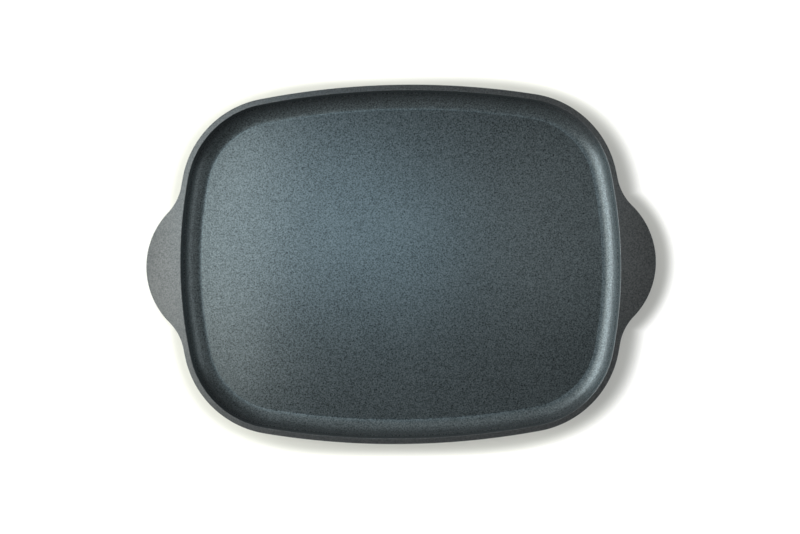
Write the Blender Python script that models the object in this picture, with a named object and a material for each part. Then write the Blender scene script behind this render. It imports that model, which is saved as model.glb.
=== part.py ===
"""Teppanyaki griddle: a low aluminium tray cast in one piece with its two ears, and a perforated
steel plate let into the underside, which makes it work on an induction hob.

Metres, +Z up. The origin is on the table, under the middle of the tray. X runs from ear to ear.
"""

import math

import bmesh
import bpy
from mathutils import Matrix, Vector

# Outline of the tray from above: bowed ends and bowed long sides, joined by round corners
TRAY_LENGTH = 0.352
TRAY_WIDTH = 0.280
END_BOW_RADIUS = 0.360
SIDE_BOW_RADIUS = 0.625
CORNER_RADIUS = 0.076

# Ears, flush with the rim: a round tip and a hollow arc that runs into the tray's end
EAR_REACH = 0.0228
EAR_TIP_RADIUS = 0.061
EAR_HOLLOW_RADIUS = 0.040
EAR_THICKNESS = 0.006
EAR_DROOP = 0.0010
EAR_LOWER_EDGE_RADIUS = 0.002
EAR_ROOT_RADIUS = 0.005

# Cross-section of the tray
TRAY_HEIGHT = 0.025
FLOOR_THICKNESS = 0.008
FLOOR_FILLET_RADIUS = 0.013
RIM_WIDTH = 0.0045
WALL_DRAFT = math.radians(10.0)
RIM_EDGE_RADIUS = 0.0008
BASE_CORNER_RADIUS = 0.012

# Steel plate in the base, and the cast studs that fill its holes and hold it
STEEL_THICKNESS = 0.001
STEEL_CORNER_RADIUS = 0.032
BASE_LAND_WIDTH = 0.022
STUD_HOLE_RADIUS = 0.0045
STUD_PITCH = 0.025
STUD_HOLE_MARGIN = 0.006
STUD_ROW_ANGLE = math.radians(60.0)
SEAT_GAP = 0.0003

# How finely round shapes are divided, along a quarter of the outline and across a section
END_STEPS = 14
CORNER_STEPS = 10
SIDE_STEPS = 6
FILLET_STEPS = 7
BASE_CORNER_STEPS = 5
EDGE_STEPS = 3
EAR_TOP_STEPS = 2
HOLE_STEPS = 12

CUTTER_OVERRUN = 0.002
SAME_POINT = 0.00001
SMOOTH_ANGLE = math.radians(35.0)
RIGHT_ANGLE = math.pi / 2

# Colours, linear
COATING_COLOUR = (0.045, 0.058, 0.064)
STEEL_COLOUR = (0.56, 0.56, 0.55)


def clear_scene():
    for obj in list(bpy.data.objects):
        bpy.data.objects.remove(obj, do_unlink=True)


def new_collection(name):
    collection = bpy.data.collections.new(name)
    bpy.context.scene.collection.children.link(collection)
    return collection


def new_material(name, colour, roughness, metallic):
    material = bpy.data.materials.new(name)
    material.use_nodes = True
    shader = material.node_tree.nodes["Principled BSDF"]
    shader.inputs["Base Color"].default_value = (*colour, 1.0)
    shader.inputs["Roughness"].default_value = roughness
    shader.inputs["Metallic"].default_value = metallic
    return material


def circles_meet(centre_a, radius_a, centre_b, radius_b):
    """The point where two circles cross, on the side away from the X axis."""
    between = centre_b - centre_a
    span = between.length
    along = (radius_a**2 - radius_b**2 + span**2) / (2 * span)
    aside = math.sqrt(max(radius_a**2 - along**2, 0.0))
    unit = between / span
    foot = centre_a + unit * along
    offset = Vector((-unit.y, unit.x)) * aside
    return max(foot + offset, foot - offset, key=lambda point: point.y)


def heading_of(vector):
    return math.atan2(vector.y, vector.x)


def unit_vector(angle):
    return Vector((math.cos(angle), math.sin(angle)))


def steps_between(start, end, steps):
    return [start + (end - start) * step / steps for step in range(steps + 1)]


class BowedRectangle:
    """A rectangle with bowed sides and round corners. Each quarter is three arcs that meet smoothly,
    so a point is found from the heading of its outward normal, and a parallel outline has the same
    centres and a smaller radius."""

    def __init__(self, half_length, half_width, end_bow, side_bow, corner):
        self.half_length = half_length
        self.end_centre = Vector((half_length - end_bow, 0.0))
        self.side_centre = Vector((0.0, half_width - side_bow))
        self.corner_centre = circles_meet(
            self.side_centre, side_bow - corner, self.end_centre, end_bow - corner
        )
        self.end_bow = end_bow
        self.side_bow = side_bow
        self.corner = corner
        self.end_turn = heading_of(self.corner_centre - self.end_centre)
        self.side_turn = heading_of(self.corner_centre - self.side_centre)

    def arc_at(self, heading):
        """Centre and radius of the arc whose normals have this heading, in the first quarter."""
        if heading <= self.end_turn:
            return self.end_centre, self.end_bow
        if heading <= self.side_turn:
            return self.corner_centre, self.corner
        return self.side_centre, self.side_bow

    def quarter_headings(self):
        headings = steps_between(0.0, self.end_turn, END_STEPS)
        headings += steps_between(self.end_turn, self.side_turn, CORNER_STEPS)[1:]
        return headings + steps_between(self.side_turn, RIGHT_ANGLE, SIDE_STEPS)[1:]

    def spots(self):
        """(point, outward normal, heading folded into the first quarter), once round, anticlockwise."""
        quarter = []
        for heading in self.quarter_headings():
            centre, radius = self.arc_at(heading)
            normal = unit_vector(heading)
            quarter.append((centre + normal * radius, normal, heading))
        around = []
        for flip_x, flip_y in ((1, 1), (-1, 1), (-1, -1), (1, -1)):
            mirrored = [
                (Vector((p.x * flip_x, p.y * flip_y)), Vector((n.x * flip_x, n.y * flip_y)), heading)
                for p, n, heading in quarter
            ]
            around += (mirrored if flip_x == flip_y else mirrored[::-1])[:-1]
        return around

    def holds(self, point, margin):
        """True if the point lies inside the outline by at least the margin."""
        return all((point - spot).dot(normal) < -margin for spot, normal, _ in self.spots())


class Ear:
    """The ear's outline from above, as the distance that it stands out from the tray's outline."""

    def __init__(self, tray):
        self.tip_centre = Vector((tray.half_length + EAR_REACH - EAR_TIP_RADIUS, 0.0))
        for centre, radius, last_heading in (
            (tray.end_centre, tray.end_bow, tray.end_turn),
            (tray.corner_centre, tray.corner, tray.side_turn),
        ):
            self.hollow_centre = circles_meet(
                centre, radius + EAR_HOLLOW_RADIUS, self.tip_centre, EAR_TIP_RADIUS + EAR_HOLLOW_RADIUS
            )
            self.last_heading = heading_of(self.hollow_centre - centre)
            if self.last_heading <= last_heading:
                break
        self.tip_turn = heading_of(self.hollow_centre - self.tip_centre)

    def reach(self, spot, normal, heading):
        """How far the ear stands out along the tray's normal at this spot, and 0 where there is no ear."""
        if heading >= self.last_heading:
            return 0.0
        start = Vector((abs(spot.x), abs(spot.y)))
        normal = Vector((abs(normal.x), abs(normal.y)))
        tip = ray_to_circle(start, normal, self.tip_centre, EAR_TIP_RADIUS)[1]
        if heading_of(start + normal * tip - self.tip_centre) <= self.tip_turn:
            return tip
        hollow = ray_to_circle(start, normal, self.hollow_centre, EAR_HOLLOW_RADIUS)[0]
        return max(hollow, 0.0)


def ray_to_circle(start, normal, centre, radius):
    """Distances along a ray to where it enters and leaves a circle."""
    to_centre = centre - start
    along = to_centre.dot(normal)
    half_chord = math.sqrt(max(radius**2 - to_centre.length_squared + along**2, 0.0))
    return along - half_chord, along + half_chord


def rounded_path(corners):
    """The points of an open path of (point, corner radius, steps), its corners turned into arcs."""
    points = [corners[0][0]]
    for (before, _, _), (corner, radius, steps), (after, _, _) in zip(corners, corners[1:], corners[2:]):
        if radius <= SAME_POINT:
            points += [corner] * (steps + 1)
            continue
        back = (before - corner).normalized()
        ahead = (after - corner).normalized()
        half_angle = back.angle(ahead) / 2
        centre = corner + (back + ahead).normalized() * (radius / math.sin(half_angle))
        tangent = radius / math.tan(half_angle)
        first = heading_of(corner + back * tangent - centre)
        turn = heading_of(corner + ahead * tangent - centre) - first
        turn = (turn + math.pi) % (2 * math.pi) - math.pi
        angles = steps_between(first, first + turn, steps)
        points += [centre + unit_vector(angle) * radius for angle in angles]
    return points + [corners[-1][0]]


def tray_section(reach):
    """Half of the tray's cross-section where the ear stands out by reach: from the cooking floor,
    over the rim or ear, down the outer wall and in under the base. Each point is (distance outward
    of the outline, height). Where there is no ear, the ear's corners fall together on the wall.
    The outer corners stand out a little more, so that their rounded edges just reach the outline."""
    draft = math.tan(WALL_DRAFT)
    inner_foot = -RIM_WIDTH - (TRAY_HEIGHT - FLOOR_THICKNESS) * draft
    wall_top = RIM_EDGE_RADIUS * (1 / math.tan((RIGHT_ANGLE - WALL_DRAFT) / 2) - 1)
    wall_under_ear = wall_top - EAR_THICKNESS * draft
    wall_base = wall_top - TRAY_HEIGHT * draft
    edge_height = ear_top_height(reach)
    ear_share = min(1.0, reach / (EAR_LOWER_EDGE_RADIUS + EAR_ROOT_RADIUS))
    lower_radius = EAR_LOWER_EDGE_RADIUS * ear_share
    root_radius = EAR_ROOT_RADIUS * ear_share
    ear_top = [
        (Vector((out, ear_top_height(out))), 0.0, 0)
        for out in steps_between(-RIM_WIDTH / 2, reach - RIM_EDGE_RADIUS, EAR_TOP_STEPS)[:-1]
    ]
    return rounded_path([
        (Vector((inner_foot - FLOOR_FILLET_RADIUS, FLOOR_THICKNESS)), 0.0, 0),
        (Vector((inner_foot, FLOOR_THICKNESS)), FLOOR_FILLET_RADIUS, FILLET_STEPS),
        (Vector((-RIM_WIDTH, TRAY_HEIGHT)), RIM_EDGE_RADIUS, EDGE_STEPS),
        *ear_top,
        (Vector((reach + wall_top, edge_height)), RIM_EDGE_RADIUS, EDGE_STEPS),
        (Vector((reach + wall_under_ear, edge_height - EAR_THICKNESS)), lower_radius, EDGE_STEPS),
        (Vector((wall_under_ear, TRAY_HEIGHT - EAR_THICKNESS)), root_radius, EDGE_STEPS),
        (Vector((wall_base, 0.0)), BASE_CORNER_RADIUS, BASE_CORNER_STEPS),
        (Vector((wall_base - BASE_CORNER_RADIUS, 0.0)), 0.0, 0),
    ])


def ear_top_height(out):
    """The ear's top falls away from the rim in a shallow curve."""
    return TRAY_HEIGHT - EAR_DROOP * (max(out, 0.0) / EAR_REACH) ** 2


def new_object(name, mesh, collection, material=None):
    obj = bpy.data.objects.new(name, mesh)
    collection.objects.link(obj)
    if material:
        mesh.materials.append(material)
    return obj


def loft_tray(name, tray, collection, material):
    """Skins the cross-sections round the outline, and closes the floor and the base with a flat face."""
    ear = Ear(tray)
    bm = bmesh.new()
    sections = []
    for spot, normal, heading in tray.spots():
        points = tray_section(ear.reach(spot, normal, heading))
        sections.append([bm.verts.new((*(spot + normal * out), height)) for out, height in points])
    for here, there in zip(sections, sections[1:] + sections[:1]):
        for low in range(len(here) - 1):
            bm.faces.new((here[low], here[low + 1], there[low + 1], there[low]))
    bm.faces.new([section[0] for section in sections])
    bm.faces.new([section[-1] for section in reversed(sections)])
    bmesh.ops.remove_doubles(bm, verts=bm.verts, dist=SAME_POINT)
    bmesh.ops.recalc_face_normals(bm, faces=bm.faces)
    mesh = bpy.data.meshes.new(name)
    bm.to_mesh(mesh)
    bm.free()
    return new_object(name, mesh, collection, material)


def stud_centres(steel):
    """Centres of the holes in the steel: staggered rows, about the middle, clear of its edge."""
    row_pitch = STUD_PITCH * math.sin(STUD_ROW_ANGLE)
    most = math.ceil(TRAY_LENGTH / row_pitch)
    centres = []
    for row in range(-most, most + 1):
        shift = STUD_PITCH / 2 if row % 2 else 0.0
        for column in range(-most, most + 1):
            centre = Vector((column * STUD_PITCH + shift, row * row_pitch))
            if steel.holds(centre, STUD_HOLE_RADIUS + STUD_HOLE_MARGIN):
                centres.append(centre)
    return centres


def slab(name, outline, growth, bottom, top, collection, material=None):
    """A flat slab from bottom to top, its edge outside the outline by growth."""
    bm = bmesh.new()
    rim = [bm.verts.new((*(spot + normal * growth), bottom)) for spot, normal, _ in outline.spots()]
    face = bm.faces.new(rim)
    raised = bmesh.ops.extrude_face_region(bm, geom=[face])["geom"]
    upper = [item for item in raised if isinstance(item, bmesh.types.BMVert)]
    bmesh.ops.translate(bm, verts=upper, vec=(0.0, 0.0, top - bottom))
    bmesh.ops.recalc_face_normals(bm, faces=bm.faces)
    mesh = bpy.data.meshes.new(name)
    bm.to_mesh(mesh)
    bm.free()
    return new_object(name, mesh, collection, material)


def round_bars(name, centres, radius, bottom, top, collection):
    """One upright round bar at each centre, from bottom to top."""
    bm = bmesh.new()
    for centre in centres:
        bmesh.ops.create_cone(
            bm,
            cap_ends=True,
            segments=HOLE_STEPS,
            radius1=radius,
            radius2=radius,
            depth=top - bottom,
            matrix=Matrix.Translation((centre.x, centre.y, (bottom + top) / 2)),
        )
    mesh = bpy.data.meshes.new(name)
    bm.to_mesh(mesh)
    bm.free()
    return new_object(name, mesh, collection)


def combine(target, operation, tool, name):
    """Adds a boolean with a tool that is itself never drawn."""
    tool.hide_render = True
    tool.display_type = "WIRE"
    modifier = target.modifiers.new(name, "BOOLEAN")
    modifier.operation = operation
    modifier.solver = "EXACT"
    modifier.object = tool


def shade_smooth_by_angle(obj):
    obj.data.shade_smooth()
    obj.data.set_sharp_from_angle(angle=SMOOTH_ANGLE)


def steel_outline():
    """The steel plate's outline: the base's flat face, less the bare land around the plate."""
    base_inset = TRAY_HEIGHT * math.tan(WALL_DRAFT)
    corner_inset = BASE_CORNER_RADIUS * math.tan((RIGHT_ANGLE - WALL_DRAFT) / 2)
    inset = base_inset + corner_inset + BASE_LAND_WIDTH
    return BowedRectangle(
        TRAY_LENGTH / 2 - inset,
        TRAY_WIDTH / 2 - inset,
        END_BOW_RADIUS - inset,
        SIDE_BOW_RADIUS - inset,
        STEEL_CORNER_RADIUS,
    )


def build_griddle():
    parts = new_collection("teppanyaki_griddle")
    cutters = new_collection("cutters")
    coated = new_material("coated_aluminium", COATING_COLOUR, roughness=0.42, metallic=0.0)
    ferritic = new_material("ferritic_steel", STEEL_COLOUR, roughness=0.34, metallic=1.0)
    tray = BowedRectangle(
        TRAY_LENGTH / 2, TRAY_WIDTH / 2, END_BOW_RADIUS, SIDE_BOW_RADIUS, CORNER_RADIUS
    )
    steel = steel_outline()
    centres = stud_centres(steel)

    casting = loft_tray("griddle_casting", tray, parts, coated)
    pocket_top = STEEL_THICKNESS + SEAT_GAP
    pocket = slab("steel_pocket", steel, SEAT_GAP, -CUTTER_OVERRUN, pocket_top, cutters)
    combine(casting, "DIFFERENCE", pocket, "steel pocket")
    rooted = pocket_top + CUTTER_OVERRUN
    studs = round_bars("cast_studs", centres, STUD_HOLE_RADIUS - SEAT_GAP, 0.0, rooted, cutters)
    combine(casting, "UNION", studs, "cast studs")
    shade_smooth_by_angle(casting)

    plate = slab("induction_plate", steel, 0.0, 0.0, STEEL_THICKNESS, parts, ferritic)
    above = STEEL_THICKNESS + CUTTER_OVERRUN
    holes = round_bars("stud_holes", centres, STUD_HOLE_RADIUS, -CUTTER_OVERRUN, above, cutters)
    combine(plate, "DIFFERENCE", holes, "stud holes")
    shade_smooth_by_angle(plate)


clear_scene()
build_griddle()
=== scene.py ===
"""The looks of a teppanyaki griddle: the coated casting, the steel plate in its base, and a studio."""

import math
from typing import NamedTuple

import bpy
from bpy.props import FloatProperty, FloatVectorProperty, PointerProperty
from mathutils import Matrix, Vector


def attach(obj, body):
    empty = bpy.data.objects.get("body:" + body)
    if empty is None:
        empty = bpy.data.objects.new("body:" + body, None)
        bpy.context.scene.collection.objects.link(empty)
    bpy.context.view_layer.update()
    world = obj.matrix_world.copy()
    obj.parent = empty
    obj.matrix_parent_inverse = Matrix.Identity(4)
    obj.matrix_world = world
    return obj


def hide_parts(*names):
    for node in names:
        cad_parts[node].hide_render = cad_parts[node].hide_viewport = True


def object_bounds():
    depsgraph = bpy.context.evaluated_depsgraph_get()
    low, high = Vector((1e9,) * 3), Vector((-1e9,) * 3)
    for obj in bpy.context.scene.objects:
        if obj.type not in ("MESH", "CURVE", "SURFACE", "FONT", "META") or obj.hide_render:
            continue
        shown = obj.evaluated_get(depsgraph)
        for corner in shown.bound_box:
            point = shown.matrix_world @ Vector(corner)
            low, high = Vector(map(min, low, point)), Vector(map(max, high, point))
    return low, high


bl_info = {
    "name": "Teppanyaki Griddle",
    "version": (1, 0, 0),
    "blender": (4, 5, 0),
    "location": "View3D > Sidebar > Griddle",
    "description": "Dresses the cast griddle and sets up its studio",
    "category": "Object",
}

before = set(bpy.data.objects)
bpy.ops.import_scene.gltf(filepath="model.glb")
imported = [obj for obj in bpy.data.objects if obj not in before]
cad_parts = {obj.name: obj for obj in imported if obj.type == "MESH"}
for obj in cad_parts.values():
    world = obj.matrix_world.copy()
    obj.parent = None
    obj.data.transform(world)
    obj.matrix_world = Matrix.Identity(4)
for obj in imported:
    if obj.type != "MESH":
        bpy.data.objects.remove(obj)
CAD_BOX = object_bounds()
CAD_SIZE = CAD_BOX[1] - CAD_BOX[0]

# How finely the casting is divided: along a quarter of its outline, and across its section
END_STEPS = 52
CORNER_STEPS = 34
SIDE_STEPS = 20
FILLET_STEPS = 20
RIM_EDGE_STEPS = 6
EAR_TOP_STEPS = 8
EAR_EDGE_STEPS = 6
EAR_ROOT_STEPS = 7
BASE_CORNER_STEPS = 12
STUD_STEPS = 40

# The middle of a noise that runs from 0 to 1
NOISE_MIDDLE = 0.5

# How much the faint clouds change the coating's flecks, and the part of the noise that shows as flecks
CLOUD_STRENGTH = 0.08
FLECK_BAND = (0.20, 0.86)

# How far the flecks on the rim and ears are drawn towards an even share
RIM_CALM = 0.45
EVEN_FLECKS = 0.40

# How much the grain changes the coating's roughness
GRAIN_ROUGHNESS = 0.04

# How much rougher the foot of the wall is, and the height above the floor at which it is fully so
WALL_ROUGHNESS = 0.12
WALL_START = 0.00005

# The turned metal: its darkest streaks, the part of the noise that makes them, and how much they
# change the roughness
STREAK_SHADE = 0.78
STREAK_BAND = (0.3, 0.7)
STREAK_ROUGHNESS = 0.08

# Width of the streaks, and length and height of the rings' waves, counted in rings of the lathe
STREAK_RINGS = 2.5
WAVE_LENGTH_RINGS = 40
WAVE_RINGS = 2
TURNING_DEPTH = 0.000012

PAPER_SIZE = 12.0
PAPER_ROUGHNESS = 0.9

# The power of the squared oval that comes nearest to the tray's outline: 2 would make it an ellipse
OVAL_POWER = 3.4

# The most that the flat beside an arc's end may take, as a share of the arc's radius
SHOULDER_SHARE = 0.25

# How near two points are one, how far a cutter stands out of what it cuts, and how level a face is
# that counts as flat
SAME_POINT = 0.000005
CUTTER_OVERRUN = 0.002
FLAT = 0.0001
RIGHT_ANGLE = math.pi / 2
SMOOTH_ANGLE = math.radians(35.0)


def length_property(name, description, default):
    return FloatProperty(name=name, description=description, default=default, unit="LENGTH", precision=4)


def angle_property(name, description, degrees):
    angle = math.radians(degrees)
    return FloatProperty(name=name, description=description, default=angle, subtype="ANGLE")


def share_property(name, description, default):
    return FloatProperty(
        name=name, description=description, default=default, min=0.0, max=1.0, subtype="FACTOR"
    )


def place_property(name, description, default):
    return FloatVectorProperty(
        name=name, description=description, default=default, subtype="XYZ", unit="LENGTH"
    )


def colour_property(name, description, default):
    return FloatVectorProperty(
        name=name, description=description, default=default, min=0.0, max=1.0, subtype="COLOR"
    )


class CastingSizes(bpy.types.PropertyGroup):
    """Sizes of the tray and its ears."""

    length: length_property("Length", "From the tip of one ear to the tip of the other", CAD_SIZE.x)
    width: length_property("Width", "Across the long sides at their middle", CAD_SIZE.y)
    height: length_property("Height", "From the base to the rim", CAD_SIZE.z)
    end_bow: length_property("End bow", "Radius of the bowed ends", 0.360)
    side_bow: length_property("Side bow", "Radius of the bowed long sides", 0.625)
    corner: length_property("Corner", "Radius of the corners", 0.076)
    ear_reach: length_property("Ear reach", "How far an ear stands out from the rim", 0.0228)
    ear_tip: length_property("Ear tip", "Radius of the ear's round tip", 0.061)
    ear_hollow: length_property("Ear hollow", "Radius of the hollow between ear and rim", 0.040)
    ear_thickness: length_property("Ear thickness", "Thickness of the ear", 0.006)
    ear_droop: length_property("Ear droop", "How far the ear's tip lies below the rim", 0.0003)
    ear_edge: length_property("Ear edge", "Radius of the ear's lower edge", 0.002)
    ear_root: length_property("Ear root", "Radius between the ear and the wall under it", 0.005)
    rim_width: length_property("Rim width", "Width of the rim's flat top", 0.0045)
    rim_edge: length_property("Rim edge", "Radius of the rim's two edges", 0.0005)
    draft: angle_property("Draft", "Lean of the walls", 10.0)
    floor: length_property("Floor", "Thickness of the floor", 0.008)
    floor_fillet: length_property("Floor fillet", "Radius between floor and wall", 0.013)
    base_corner: length_property("Base corner", "Radius between outer wall and base", 0.012)


class PlateSizes(bpy.types.PropertyGroup):
    """Sizes of the steel plate and of the studs in its holes."""

    thickness: length_property("Thickness", "Thickness of the steel", 0.001)
    land: length_property("Land", "Width of the bare ring of the casting round the plate", 0.022)
    corner: length_property("Corner", "Radius of the plate's corners", 0.032)
    hole: length_property("Hole", "Radius of a hole", 0.0045)
    pitch: length_property("Pitch", "Distance between the middles of two holes", 0.025)
    margin: length_property("Margin", "Least metal between a hole and the plate's edge", 0.006)
    seat_gap: length_property("Seat gap", "Space between the casting and the steel", 0.0003)
    seam: length_property("Seam", "Width of the fine line that shows between them", 0.00008)


class Finishes(bpy.types.PropertyGroup):
    """Colours and textures."""

    coating: colour_property("Coating", "Colour of the non-stick coating", (0.009, 0.0115, 0.0125))
    fleck: colour_property("Fleck", "Colour of the fine flecks in it", (0.110, 0.134, 0.141))
    rim_fleck: colour_property("Rim fleck", "Their colour on the rim and ears", (0.132, 0.136, 0.136))
    sheen_tint: colour_property("Sheen tint", "Colour of the coating's own reflections", (0.77, 0.95, 1.0))
    gloss: FloatProperty(
        name="Gloss", description="Refractive index of the coating", default=1.49, min=1.0
    )
    fleck_size: length_property("Fleck size", "Distance between two flecks", 0.0011)
    shine: share_property("Shine", "How metallic the coating is", 0.5)
    coating_roughness: share_property("Coating roughness", "How matt the coating is", 0.22)
    grain: length_property("Grain", "Size of the coating's grain", 0.0011)
    grain_depth: length_property("Grain depth", "Height of the coating's grain", 0.000003)
    mottle: length_property("Mottle", "Size of the faint clouds in the coating", 0.030)
    aluminium: colour_property("Aluminium", "Colour of the bare base", (0.80, 0.80, 0.79))
    aluminium_roughness: share_property("Aluminium roughness", "How matt the bare base is", 0.30)
    steel: colour_property("Steel", "Colour of the steel plate", (0.56, 0.56, 0.55))
    steel_roughness: share_property("Steel roughness", "How matt the steel plate is", 0.34)
    turning: length_property("Turning", "Distance between the rings left by the lathe", 0.0005)
    paper: colour_property("Paper", "Colour of the paper under the griddle", (0.80, 0.80, 0.80))
    # The camera sees the paper in this darker, yellowish colour instead of the paper colour; with the
    # lamps' real shadow it gives the tone of the painted shadow beside the griddle
    painted_shadow_colour: colour_property("Shade", "Colour of the exposed paper in the shadow", (0.44, 0.445, 0.385))


class Studio(bpy.types.PropertyGroup):
    """Camera and lamps."""

    lens: FloatProperty(name="Lens", description="Focal length", default=80.0, subtype="DISTANCE_CAMERA")
    eye: place_property("Eye", "Place of the camera", (0.0687, -0.0109, 1.4075))
    aim: place_property("Aim", "Point that it looks at", (0.00027, -0.00207, 0.020))
    roll: angle_property("Roll", "Turn of the camera about its line of sight", -0.785)
    horizon: colour_property("Horizon", "Light from the white walls", (0.24, 0.25, 0.26))
    ceiling: colour_property("Ceiling", "Light from above", (0.01, 0.01, 0.01))
    # The paper beside the griddle carries a painted shadow: its own light for the camera drops to a low
    # level there, evenly across the halo's core, and rises to full white at the halo's outer width; the
    # tray's and ears' parts of it are moved the way the shadow falls
    painted_shadow_glow: share_property("Glow", "How much lighter the camera sees the paper beside the griddle", 0.26)
    halo: length_property("Halo", "Width of the paper round the griddle that shows its shadow", 0.0175)
    halo_core: length_property("Halo core", "Width of the halo's evenly dark inner part", 0.0035)
    tray_shadow: place_property("Tray shadow", "How far the tray's halo is moved", (0.0005, -0.0015, 0.0))
    ear_shadow: place_property("Ear shadow", "How far the ears' halo is moved", (0.0040, -0.0005, 0.0))


WHITE = (1.0, 1.0, 1.0)
WARM = (1.0, 0.96, 0.91)
COOL = (0.70, 0.88, 1.0)
BLACK = (0.0, 0.0, 0.0)

# How high the studio's white walls reach, as the sine of the angle above the horizon
WALL_TOP = math.sin(math.radians(45.0))


class SoftBox(NamedTuple):
    """A lamp that faces the griddle. Turn and height are in degrees, the turn anticlockwise from the
    object's right, the distance, width and length in metres, and the power in watts."""

    turn: float
    height: float
    distance: float
    width: float
    length: float
    power: float
    colour: tuple = WHITE


SOFT_BOXES = {
    "key": SoftBox(172, 23, 2.6, 3.5, 1.6, 120.0),
    "key_upper": SoftBox(172, 45, 2.6, 2.4, 1.4, 31.0),
    "wing": SoftBox(115, 35, 1.3, 0.9, 0.9, 2.6),
    "back_wall": SoftBox(85, 60, 1.5, 0.7, 0.7, 1.3),
    "front_wall": SoftBox(275, 52, 1.5, 0.8, 1.2, 1.2),
    "right_wall": SoftBox(0, 15, 2.0, 1.6, 1.1, 8.5),
    "right_upper": SoftBox(0, 46, 1.6, 1.0, 1.2, 3.4),
    "overhead_far_left": SoftBox(178, 59, 0.64, 0.20, 0.14, 0.30, WARM),
    "overhead_left": SoftBox(176, 67, 0.60, 0.34, 0.125, 0.44, WARM),
    "overhead_near_left": SoftBox(158, 78, 1.32, 0.27, 0.24, 0.61, COOL),
    "overhead_middle": SoftBox(145, 86, 1.30, 0.18, 0.18, 0.41, COOL),
    "overhead_right": SoftBox(17, 75, 0.57, 0.18, 0.18, 0.07),
}


def unit_vector(angle):
    return Vector((math.cos(angle), math.sin(angle)))


def heading_of(vector):
    return math.atan2(vector.y, vector.x)


def steps_between(start, end, steps):
    return [start + (end - start) * step / steps for step in range(steps + 1)]


def circles_meet(centre_a, radius_a, centre_b, radius_b):
    """The point where two circles cross, on the side away from the X axis."""
    between = centre_b - centre_a
    span = between.length
    along = (radius_a**2 - radius_b**2 + span**2) / (2 * span)
    offset = Vector((-between.y, between.x)) * (math.sqrt(max(radius_a**2 - along**2, 0.0)) / span)
    foot = centre_a + between * (along / span)
    return max(foot + offset, foot - offset, key=lambda point: point.y)


def ray_to_circle(start, normal, centre, radius):
    """Distances along a ray to where it enters and leaves a circle."""
    to_centre = centre - start
    along = to_centre.dot(normal)
    half_chord = math.sqrt(max(radius**2 - to_centre.length_squared + along**2, 0.0))
    return along - half_chord, along + half_chord


class BowedRectangle:
    """The first quarter of a rectangle with bowed sides and round corners: three arcs that meet
    smoothly. A point is found from the heading of its outward normal."""

    def __init__(self, half_length, half_width, end_bow, side_bow, corner):
        self.half_length = half_length
        self.end_centre = Vector((half_length - end_bow, 0.0))
        self.side_centre = Vector((0.0, half_width - side_bow))
        self.corner_centre = circles_meet(
            self.side_centre, side_bow - corner, self.end_centre, end_bow - corner
        )
        self.end_bow = end_bow
        self.side_bow = side_bow
        self.corner = corner
        self.end_turn = heading_of(self.corner_centre - self.end_centre)
        self.side_turn = heading_of(self.corner_centre - self.side_centre)

    def spots(self):
        """(point, outward normal, heading) along the quarter, from the end's middle to the side's."""
        headings = steps_between(0.0, self.end_turn, END_STEPS)
        headings += steps_between(self.end_turn, self.side_turn, CORNER_STEPS)[1:]
        headings += steps_between(self.side_turn, RIGHT_ANGLE, SIDE_STEPS)[1:]
        return [(self.point_at(heading), unit_vector(heading), heading) for heading in headings]

    def point_at(self, heading):
        if heading <= self.end_turn:
            return self.end_centre + unit_vector(heading) * self.end_bow
        if heading <= self.side_turn:
            return self.corner_centre + unit_vector(heading) * self.corner
        return self.side_centre + unit_vector(heading) * self.side_bow

    def holds(self, point, margin):
        """True if the point lies inside the outline by at least the margin."""
        folded = Vector((abs(point.x), abs(point.y)))
        return all((folded - spot).dot(normal) < -margin for spot, normal, _ in self.spots())


def tray_outline(sizes):
    return BowedRectangle(
        sizes.length / 2 - sizes.ear_reach, sizes.width / 2, sizes.end_bow, sizes.side_bow, sizes.corner
    )


def plate_outline(sizes, plate):
    base_inset = sizes.height * math.tan(sizes.draft)
    corner_inset = sizes.base_corner * math.tan((RIGHT_ANGLE - sizes.draft) / 2)
    inset = base_inset + corner_inset + plate.land
    return BowedRectangle(
        sizes.length / 2 - sizes.ear_reach - inset,
        sizes.width / 2 - inset,
        sizes.end_bow - inset,
        sizes.side_bow - inset,
        plate.corner,
    )


class Ear:
    """The ear's outline from above, as the distance that it stands out from the tray's end."""

    def __init__(self, tray, sizes):
        self.tip = sizes.ear_tip
        self.hollow = sizes.ear_hollow
        self.tip_centre = Vector((sizes.length / 2 - self.tip, 0.0))
        self.hollow_centre = circles_meet(
            tray.end_centre, tray.end_bow + self.hollow, self.tip_centre, self.tip + self.hollow
        )
        self.last_heading = heading_of(self.hollow_centre - tray.end_centre)
        self.tip_turn = heading_of(self.hollow_centre - self.tip_centre)

    def reach(self, spot, normal, heading):
        if heading >= self.last_heading:
            return 0.0
        out = ray_to_circle(spot, normal, self.tip_centre, self.tip)[1]
        if heading_of(spot + normal * out - self.tip_centre) <= self.tip_turn:
            return out
        return max(ray_to_circle(spot, normal, self.hollow_centre, self.hollow)[0], 0.0)


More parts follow.
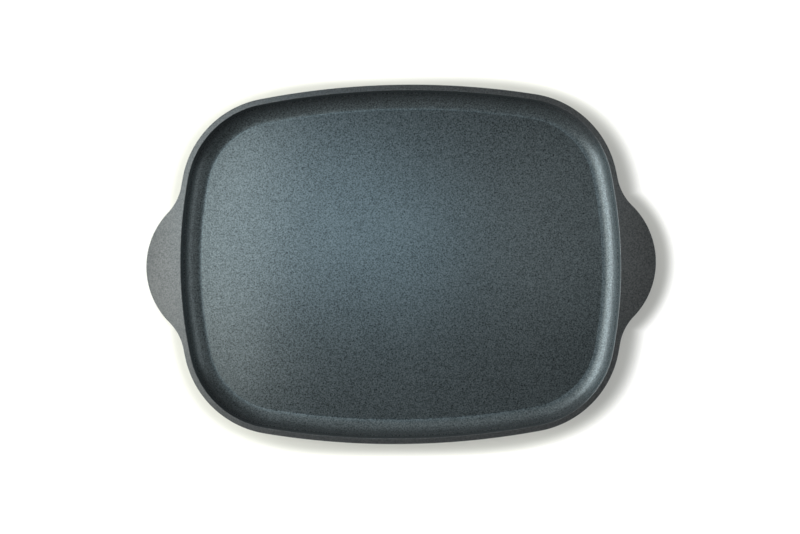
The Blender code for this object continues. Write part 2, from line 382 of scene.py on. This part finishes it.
def rounded_path(corners, shoulder):
    """The points of an open path of (point, radius, steps), its corners turned into arcs. Each arc
    has one more point a shoulder's length before and after it, which keeps the flats flat. A corner
    too sharp for an arc gets as many points, all in one place, so that every section matches."""
    points = [corners[0][0]]
    for (before, _, _), (corner, radius, steps), (after, _, _) in zip(corners, corners[1:], corners[2:]):
        if steps == 0:
            points.append(corner)
            continue
        if radius <= SAME_POINT:
            points += [corner] * (steps + 1 + 2)
            continue
        back = (before - corner).normalized()
        ahead = (after - corner).normalized()
        half_angle = back.angle(ahead) / 2
        centre = corner + (back + ahead).normalized() * (radius / math.sin(half_angle))
        tangent = radius / math.tan(half_angle)
        first = heading_of(corner + back * tangent - centre)
        turn = heading_of(corner + ahead * tangent - centre) - first
        turn = (turn + math.pi) % (2 * math.pi) - math.pi
        flat = min(shoulder, radius * SHOULDER_SHARE)
        points.append(corner + back * (tangent + flat))
        headings = steps_between(first, first + turn, steps)
        points += [centre + unit_vector(heading) * radius for heading in headings]
        points.append(corner + ahead * (tangent + flat))
    return points + [corners[-1][0]]


def ear_top_height(sizes, out):
    """The ear's top falls away from the rim in a shallow curve."""
    return sizes.height - sizes.ear_droop * (max(out, 0.0) / sizes.ear_reach) ** 2


def ear_top_slope(sizes, out):
    return math.atan(2 * sizes.ear_droop * out / sizes.ear_reach**2)


def edge_overhang(radius, draft, slope):
    """How far the sharp corner of a sloping top and a drafted wall stands outside the rounded one."""
    return radius * ((math.cos(slope) + math.sin(draft)) / math.cos(draft - slope) - 1)


def casting_section(sizes, reach):
    """From the cooking floor over the rim or ear and down to the base, as (distance outward of the
    outline, height). The ear's top runs from the middle of the rim to just inside its own edge.
    Where there is no ear, the ear's corners fall together on the wall."""
    draft = math.tan(sizes.draft)
    inner_foot = -sizes.rim_width - (sizes.height - sizes.floor) * draft
    wall_top = edge_overhang(sizes.rim_edge, sizes.draft, 0.0)
    wall_under_ear = wall_top - sizes.ear_thickness * draft
    wall_base = wall_top - sizes.height * draft
    ear_share = min(1.0, reach / (sizes.ear_edge + sizes.ear_root))
    edge_height = ear_top_height(sizes, reach)
    edge_top = reach + edge_overhang(sizes.rim_edge, sizes.draft, ear_top_slope(sizes, reach))
    ear_top_spots = steps_between(-sizes.rim_width / 2, reach - 2 * sizes.rim_edge, EAR_TOP_STEPS)
    corners = [
        (Vector((inner_foot - sizes.floor_fillet, sizes.floor)), 0.0, 0),
        (Vector((inner_foot, sizes.floor)), sizes.floor_fillet, FILLET_STEPS),
        (Vector((-sizes.rim_width, sizes.height)), sizes.rim_edge, RIM_EDGE_STEPS),
    ]
    corners += [(Vector((out, ear_top_height(sizes, out))), 0.0, 0) for out in ear_top_spots]
    corners += [
        (Vector((edge_top, edge_height)), sizes.rim_edge, RIM_EDGE_STEPS),
        (
            Vector((reach + wall_under_ear, edge_height - sizes.ear_thickness)),
            sizes.ear_edge * ear_share,
            EAR_EDGE_STEPS,
        ),
        (
            Vector((wall_under_ear, sizes.height - sizes.ear_thickness)),
            sizes.ear_root * ear_share,
            EAR_ROOT_STEPS,
        ),
        (Vector((wall_base, 0.0)), sizes.base_corner, BASE_CORNER_STEPS),
        (Vector((wall_base - sizes.base_corner, 0.0)), 0.0, 0),
    ]
    return rounded_path(corners, sizes.rim_edge / 2)


def deselect_all():
    if bpy.context.mode != "OBJECT":
        bpy.ops.object.mode_set(mode="OBJECT")
    bpy.ops.object.select_all(action="DESELECT")


def name_new(name):
    piece = bpy.context.object
    piece.name = name
    piece.data.name = name
    return piece


def pick(piece):
    deselect_all()
    piece.select_set(True)
    bpy.context.view_layer.objects.active = piece


def apply_modifier(piece, kind, **settings):
    pick(piece)
    modifier = piece.modifiers.new(kind.lower(), kind)
    for setting, value in settings.items():
        setattr(modifier, setting, value)
    bpy.ops.object.modifier_apply(modifier=modifier.name)


def mirror_to_four_quarters(piece):
    apply_modifier(piece, "MIRROR", use_axis=(True, True, False), merge_threshold=SAME_POINT)


def in_edit_mode(piece, *steps):
    """Runs edit-mode operators on the whole piece."""
    pick(piece)
    bpy.ops.object.mode_set(mode="EDIT")
    bpy.ops.mesh.select_all(action="SELECT")
    for step in steps:
        step()
    bpy.ops.object.mode_set(mode="OBJECT")


def close_open_edges():
    bpy.ops.mesh.select_all(action="DESELECT")
    bpy.ops.mesh.select_mode(type="EDGE")
    bpy.ops.mesh.select_non_manifold(
        extend=False, use_wire=False, use_boundary=True, use_multi_face=False,
        use_non_contiguous=False, use_verts=False,
    )
    bpy.ops.mesh.fill_holes(sides=0)
    bpy.ops.mesh.select_all(action="SELECT")


def merge_doubles():
    bpy.ops.mesh.remove_doubles(threshold=SAME_POINT)


def face_outwards():
    bpy.ops.mesh.normals_make_consistent(inside=False)


def smooth(piece):
    pick(piece)
    bpy.ops.object.shade_smooth_by_angle(angle=SMOOTH_ANGLE)


def wrapped_grid(name, columns):
    """A grid primitive whose columns are laid on the given lists of points."""
    deselect_all()
    rows = list(zip(*columns))
    bpy.ops.mesh.primitive_grid_add(x_subdivisions=len(columns) - 1, y_subdivisions=len(rows) - 1)
    grid = name_new(name)
    spots = [spot for row in rows for spot in row]
    grid.data.vertices.foreach_set("co", [value for spot in spots for value in spot])
    grid.data.update()
    return grid


def slab(name, outline, growth, bottom, top):
    """A flat slab from bottom to top. Its edge, outside the outline by growth, is one strip of grid
    cells round the first quarter, mirrored all round and filled above and below."""
    columns = [
        [(*(spot + normal * growth), bottom), (*(spot + normal * growth), top)]
        for spot, normal, _ in outline.spots()
    ]
    piece = wrapped_grid(name, columns)
    mirror_to_four_quarters(piece)
    in_edit_mode(piece, merge_doubles, close_open_edges, face_outwards)
    return piece


def stud_centres(outline, plate):
    """Middles of the holes: staggered rows about the plate's middle, clear of its edge."""
    row_pitch = plate.pitch * math.sqrt(3) / 2
    most = math.ceil(outline.half_length / row_pitch)
    centres = []
    for row in range(-most, most + 1):
        shift = plate.pitch / 2 if row % 2 else 0.0
        for column in range(-most, most + 1):
            centre = Vector((column * plate.pitch + shift, row * row_pitch))
            if outline.holds(centre, plate.hole + plate.margin):
                centres.append(centre)
    return centres


def round_bars(name, centres, radius, bottom, top):
    """One upright round bar at each centre, joined into one tool for a boolean."""
    deselect_all()
    bpy.ops.mesh.primitive_cylinder_add(vertices=STUD_STEPS, radius=radius, depth=top - bottom)
    first = name_new(name)
    bars = [first]
    for _ in centres[1:]:
        bar = first.copy()
        bar.data = first.data.copy()
        bpy.context.collection.objects.link(bar)
        bars.append(bar)
    for bar, centre in zip(bars, centres):
        bar.location = (centre.x, centre.y, (bottom + top) / 2)
        bar.select_set(True)
    bpy.context.view_layer.objects.active = first
    bpy.ops.object.join()
    bpy.ops.object.transform_apply(location=True, rotation=True, scale=True)
    return first


def cut_or_join(piece, operation, tool):
    apply_modifier(piece, "BOOLEAN", operation=operation, solver="EXACT", object=tool)
    bpy.data.objects.remove(tool, do_unlink=True)


def stand_for(piece, node, slot, *materials):
    for material in materials:
        piece.data.materials.append(material)
    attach(piece, "root")
    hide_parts(node)


class Number:
    """A value that varies over a surface. Arithmetic on it adds Math nodes."""

    def __init__(self, nodes, socket):
        self.nodes = nodes
        self.socket = socket

    def maths(self, operation, *values):
        return self.nodes.add("ShaderNodeMath", {"operation": operation}, dict(enumerate(values)))

    def __add__(self, other):
        return self.maths("ADD", self, other)

    def __sub__(self, other):
        return self.maths("SUBTRACT", self, other)

    def __rsub__(self, other):
        return self.maths("SUBTRACT", other, self)

    def __mul__(self, other):
        return self.maths("MULTIPLY", self, other)

    def __pow__(self, other):
        return self.maths("POWER", self, other)

    def __abs__(self):
        return self.maths("ABSOLUTE", self)

    def larger(self, other):
        return self.maths("MAXIMUM", self, other)

    def smaller(self, other):
        return self.maths("MINIMUM", self, other)

    def sine(self):
        return self.maths("SINE", self)


class Nodes:
    """The nodes of a material or of the world."""

    def __init__(self, tree):
        self.tree = tree

    def add(self, kind, settings=None, sockets=None, output=0):
        """Adds a node: its settings first, then a value, a colour or a link for each socket."""
        node = self.tree.nodes.new(kind)
        for setting, value in (settings or {}).items():
            setattr(node, setting, value)
        for socket, value in (sockets or {}).items():
            self.set(node.inputs[socket], value)
        return Number(self, node.outputs[output])

    def set(self, socket, value):
        if isinstance(value, Number):
            self.tree.links.new(value.socket, socket)
        elif socket.type == "RGBA":
            socket.default_value = (*value, 1.0)
        else:
            socket.default_value = value

    def place(self, kind="Object"):
        return self.add("ShaderNodeTexCoord", output=kind)

    def part(self, vector, axis):
        return self.add("ShaderNodeSeparateXYZ", None, {"Vector": vector}, axis)

    def noise(self, place, size, detail):
        """Cloudy noise from 0 to 1, whose features have this size in metres."""
        sockets = {"Vector": place, "Scale": 1 / size, "Detail": detail}
        return self.add("ShaderNodeTexNoise", None, sockets)

    def mix_colours(self, factor, first, second):
        sockets = {"Factor": factor, 6: first, 7: second}
        return self.add("ShaderNodeMix", {"data_type": "RGBA"}, sockets, 2)

    def remap(self, number, low, high, to_low=0.0, to_high=1.0, shape="LINEAR"):
        sockets = {"Value": number, "From Min": low, "From Max": high}
        sockets.update({"To Min": to_low, "To Max": to_high})
        return self.add("ShaderNodeMapRange", {"interpolation_type": shape}, sockets)

    def ray(self, kind):
        """1 where the ray is of this kind, and 0 elsewhere."""
        return self.add("ShaderNodeLightPath", output=f"Is {kind} Ray")


class Finish(Nodes):
    """A material in the making, with one Principled shader."""

    def __init__(self, name, constants):
        self.material = bpy.data.materials.new(name)
        self.material.use_nodes = True
        super().__init__(self.material.node_tree)
        self.shader = self.tree.nodes["Principled BSDF"]
        for socket, value in constants.items():
            self.feed(socket, value)

    def feed(self, socket, value):
        self.set(self.shader.inputs[socket], value)

    def bump(self, height, depth):
        """Height from 0 to 1 over a depth in metres."""
        self.feed("Normal", self.add("ShaderNodeBump", None, {"Height": height, "Distance": depth}))


def coating_finish(finishes, sizes):
    """Satin dark non-stick coating with a fine sandy grain and pale flecks in faint clouds. The
    flecks lie more evenly and are greyer on the rim and ears than on the cooking floor, and the foot
    of the wall is rougher."""
    constants = {
        "IOR": finishes.gloss, "Specular Tint": finishes.sheen_tint, "Metallic": finishes.shine
    }
    finish = Finish("nonstick_coating", constants)
    place = finish.place()
    grain = finish.noise(place, finishes.grain, detail=2.0)
    clouds = finish.noise(place, finishes.mottle, detail=3.0) - NOISE_MIDDLE
    height = finish.part(place, "Z")
    rise = finish.remap(height, sizes.floor, sizes.height - sizes.ear_droop)
    wall = finish.remap(height, sizes.floor, sizes.floor + WALL_START) * (1.0 - rise)
    speckle = finish.noise(place, finishes.fleck_size, detail=1.0) + clouds * CLOUD_STRENGTH
    flecks = finish.remap(speckle, *FLECK_BAND)
    calm = rise * RIM_CALM
    flecks = flecks * (1.0 - calm) + calm * EVEN_FLECKS
    fleck = finish.mix_colours(rise, finishes.fleck, finishes.rim_fleck)
    finish.feed("Base Color", finish.mix_colours(flecks, finishes.coating, fleck))
    uneven = (grain - NOISE_MIDDLE) * GRAIN_ROUGHNESS + wall * WALL_ROUGHNESS
    finish.feed("Roughness", uneven + finishes.coating_roughness)
    finish.bump(grain, finishes.grain_depth)
    return finish.material


def turned_finish(name, colour, turning, roughness):
    """Bare metal with the fine rings that the lathe leaves about the middle of the base."""
    finish = Finish(name, {"Metallic": 1.0})
    place = finish.place()
    radius = (finish.part(place, "X") ** 2 + finish.part(place, "Y") ** 2) ** 0.5
    waves = finish.noise(place, WAVE_LENGTH_RINGS * turning, detail=2.0) * (WAVE_RINGS * turning)
    rings = ((radius + waves) * (2 * math.pi / turning)).sine() * 0.5 + 0.5
    sockets = {"W": radius, "Scale": 1 / (STREAK_RINGS * turning), "Detail": 4.0}
    streaks = finish.add("ShaderNodeTexNoise", {"noise_dimensions": "1D"}, sockets)
    dark = [channel * STREAK_SHADE for channel in colour]
    smoothest = roughness - STREAK_ROUGHNESS
    roughest = roughness + STREAK_ROUGHNESS
    finish.feed("Base Color", finish.mix_colours(streaks, colour, dark))
    finish.feed("Roughness", finish.remap(streaks, *STREAK_BAND, smoothest, roughest))
    finish.bump(rings, TURNING_DEPTH)
    return finish.material


def is_machined(face, pocket_top):
    """The flat faces and the pocket's walls in the base are left bare by the lathe."""
    faces_down = face.normal.z < -1 + FLAT
    pocket_wall = abs(face.normal.z) < FLAT and face.center.z < pocket_top
    return (faces_down or pocket_wall) and face.center.z < pocket_top + SAME_POINT


class GRIDDLE_OT_casting(bpy.types.Operator):
    """Make the tray and its two ears in one piece, with the pocket for the steel plate"""

    bl_idname = "griddle.casting"
    bl_label = "Casting"

    def execute(self, context):
        sizes = context.scene.casting_sizes
        plate = context.scene.plate_sizes
        finishes = context.scene.finishes
        outline = tray_outline(sizes)
        ear = Ear(outline, sizes)
        columns = []
        for spot, normal, heading in outline.spots():
            section = casting_section(sizes, ear.reach(spot, normal, heading))
            columns.append([(*(spot + normal * out), height) for out, height in section])
        casting = wrapped_grid("coated_casting", columns)
        mirror_to_four_quarters(casting)
        in_edit_mode(casting, merge_doubles, close_open_edges, face_outwards)

        steel = plate_outline(sizes, plate)
        pocket_top = plate.thickness + plate.seat_gap
        pocket = slab("pocket", steel, plate.seat_gap, -CUTTER_OVERRUN, pocket_top)
        cut_or_join(casting, "DIFFERENCE", pocket)
        stud = plate.hole - plate.seat_gap
        centres = stud_centres(steel, plate)
        studs = round_bars("studs", centres, stud, 0.0, pocket_top + CUTTER_OVERRUN)
        cut_or_join(casting, "UNION", studs)
        smooth(casting)
        bare = turned_finish(
            "turned_aluminium", finishes.aluminium, finishes.turning, finishes.aluminium_roughness
        )
        stand_for(casting, "griddle_casting", "coated_aluminium", coating_finish(finishes, sizes), bare)
        for face in casting.data.polygons:
            if is_machined(face, pocket_top):
                face.material_index = 1
        return {"FINISHED"}


class GRIDDLE_OT_plate(bpy.types.Operator):
    """Make the perforated steel plate in the base"""

    bl_idname = "griddle.plate"
    bl_label = "Steel plate"

    def execute(self, context):
        sizes = context.scene.casting_sizes
        plate = context.scene.plate_sizes
        finishes = context.scene.finishes
        outline = plate_outline(sizes, plate)
        spread = plate.seat_gap - plate.seam
        steel = slab("turned_plate", outline, spread, 0.0, plate.thickness)
        centres = stud_centres(outline, plate)
        top = plate.thickness + CUTTER_OVERRUN
        holes = round_bars("holes", centres, plate.hole - spread, -CUTTER_OVERRUN, top)
        cut_or_join(steel, "DIFFERENCE", holes)
        smooth(steel)
        bare = turned_finish(
            "turned_steel", finishes.steel, finishes.turning, finishes.steel_roughness
        )
        stand_for(steel, "induction_plate", "ferritic_steel", bare)
        return {"FINISHED"}


def distance_from_griddle(nodes, place, sizes, studio):
    """How far a spot on the paper lies outside the griddle as seen from above, in metres: outside a
    squared oval about the tray or a circle about an ear's tip, whichever is nearer. It gives the shape
    of the painted shadow on the paper, so both are moved the way that the shadow falls."""
    right = nodes.part(place, "X")
    back = nodes.part(place, "Y")
    half_length = sizes.length / 2 - sizes.ear_reach
    half_width = sizes.width / 2
    across = abs(right - studio.tray_shadow.x) * (1 / half_length)
    along = abs(back - studio.tray_shadow.y) * (1 / half_width)
    oval = (across**OVAL_POWER + along**OVAL_POWER) ** (1 / OVAL_POWER)
    from_tray = (oval - 1.0) * half_width
    past_centre = abs(right - studio.ear_shadow.x) - (sizes.length / 2 - sizes.ear_tip)
    from_ear = (past_centre**2 + (back - studio.ear_shadow.y) ** 2) ** 0.5 - sizes.ear_tip
    return from_tray.smaller(from_ear)


def paper_material(finishes, studio, sizes):
    """White paper that glows pure white for the camera and for reflections, fully so away from the
    griddle.
    Close to it that light is held back in a painted shadow shaped after the griddle, where the camera
    sees the paper in a darker painted shadow colour, so the lamps' real shadow of the griddle shows there
    too."""
    constants = {
        "Roughness": PAPER_ROUGHNESS, "Specular IOR Level": 0.0, "Emission Strength": 1.0
    }
    paper = Finish("white_paper", constants)
    seen = paper.ray("Camera").larger(paper.ray("Glossy")).larger(paper.ray("Transmission"))
    distance = distance_from_griddle(paper, paper.place(), sizes, studio)
    # The paper's own light for the camera: held back near the griddle to paint its shadow, full white
    # further out
    white = paper.remap(distance, studio.halo_core, studio.halo, studio.painted_shadow_glow, 1.0, "SMOOTHSTEP")
    # For the camera the paper takes the darker painted shadow colour
    paper.feed("Base Color", paper.mix_colours(seen, finishes.paper, finishes.painted_shadow_colour))
    paper.feed("Emission Color", paper.mix_colours(seen * white, BLACK, WHITE))
    return paper.material


def direction(turn, height):
    """The way from the griddle to a light, from its turn and height in degrees."""
    turn = math.radians(turn)
    height = math.radians(height)
    flat = math.cos(height)
    return Vector((math.cos(turn) * flat, math.sin(turn) * flat, math.sin(height)))


def studio_world(studio):
    """White walls, bright at the horizon and fading to the ceiling, and plain white for the camera."""
    world = bpy.data.worlds.new("studio")
    world.use_nodes = True
    bpy.context.scene.world = world
    sky = Nodes(world.node_tree)
    toward = sky.place("Generated")
    height = sky.remap(sky.part(toward, "Z"), 0.0, WALL_TOP, shape="SMOOTHSTEP")
    walls = sky.mix_colours(height, studio.horizon, studio.ceiling)
    seen = sky.mix_colours(sky.ray("Camera"), walls, WHITE)
    sky.set(world.node_tree.nodes["Background"].inputs["Color"], seen)


def looking_down(eye, aim, roll):
    """The camera's rotation, with +Y upwards in the picture before the roll."""
    back = (eye - aim).normalized()
    right = Vector((0.0, 1.0, 0.0)).cross(back).normalized()
    upright = Matrix((right, back.cross(right), back)).transposed()
    return (upright @ Matrix.Rotation(roll, 3, "Z")).to_quaternion()


def hang(name, box):
    toward = direction(box.turn, box.height)
    bpy.ops.object.light_add(type="AREA", location=toward * box.distance)
    lamp = bpy.context.object
    lamp.name = name
    lamp.data.shape = "RECTANGLE"
    lamp.data.size = box.width
    lamp.data.size_y = box.length
    lamp.data.energy = box.power
    lamp.data.color = box.colour
    lamp.rotation_mode = "QUATERNION"
    lamp.rotation_quaternion = toward.to_track_quat("Z", "Y")


class GRIDDLE_OT_studio(bpy.types.Operator):
    """Lay the white paper and set the soft boxes, the walls' light and the camera"""

    bl_idname = "griddle.studio"
    bl_label = "Studio"

    def execute(self, context):
        studio = context.scene.studio
        deselect_all()
        bpy.ops.mesh.primitive_plane_add(size=PAPER_SIZE)
        paper = name_new("paper")
        sizes = context.scene.casting_sizes
        paper.data.materials.append(paper_material(context.scene.finishes, studio, sizes))
        for name, box in SOFT_BOXES.items():
            hang(name, box)
        studio_world(studio)

        bpy.ops.object.camera_add(location=studio.eye)
        camera = context.object
        camera.name = "camera"
        camera.data.lens = studio.lens
        camera.rotation_mode = "QUATERNION"
        camera.rotation_quaternion = looking_down(Vector(studio.eye), Vector(studio.aim), studio.roll)
        context.scene.camera = camera
        context.scene.view_settings.view_transform = "Standard"
        return {"FINISHED"}


class GRIDDLE_PT_panel(bpy.types.Panel):
    """The griddle's operators and settings"""

    bl_idname = "GRIDDLE_PT_panel"
    bl_label = "Griddle"
    bl_space_type = "VIEW_3D"
    bl_region_type = "UI"
    bl_category = "Griddle"

    def draw(self, context):
        for operator in OPERATORS:
            self.layout.operator(operator.bl_idname)
        for group in SETTINGS:
            box = self.layout.box()
            settings = getattr(context.scene, group)
            for name in settings.__annotations__:
                box.prop(settings, name)


OPERATORS = (GRIDDLE_OT_casting, GRIDDLE_OT_plate, GRIDDLE_OT_studio)
SETTINGS = {
    "casting_sizes": CastingSizes,
    "plate_sizes": PlateSizes,
    "finishes": Finishes,
    "studio": Studio,
}


def register():
    for cls in (*SETTINGS.values(), *OPERATORS, GRIDDLE_PT_panel):
        bpy.utils.register_class(cls)
    for name, group in SETTINGS.items():
        setattr(bpy.types.Scene, name, PointerProperty(type=group))


def unregister():
    for name in SETTINGS:
        delattr(bpy.types.Scene, name)
    for cls in (GRIDDLE_PT_panel, *OPERATORS, *SETTINGS.values()):
        bpy.utils.unregister_class(cls)


def main():
    register()
    bpy.ops.griddle.casting()
    bpy.ops.griddle.plate()
    bpy.ops.griddle.studio()


if __name__ == "__main__":
    main()
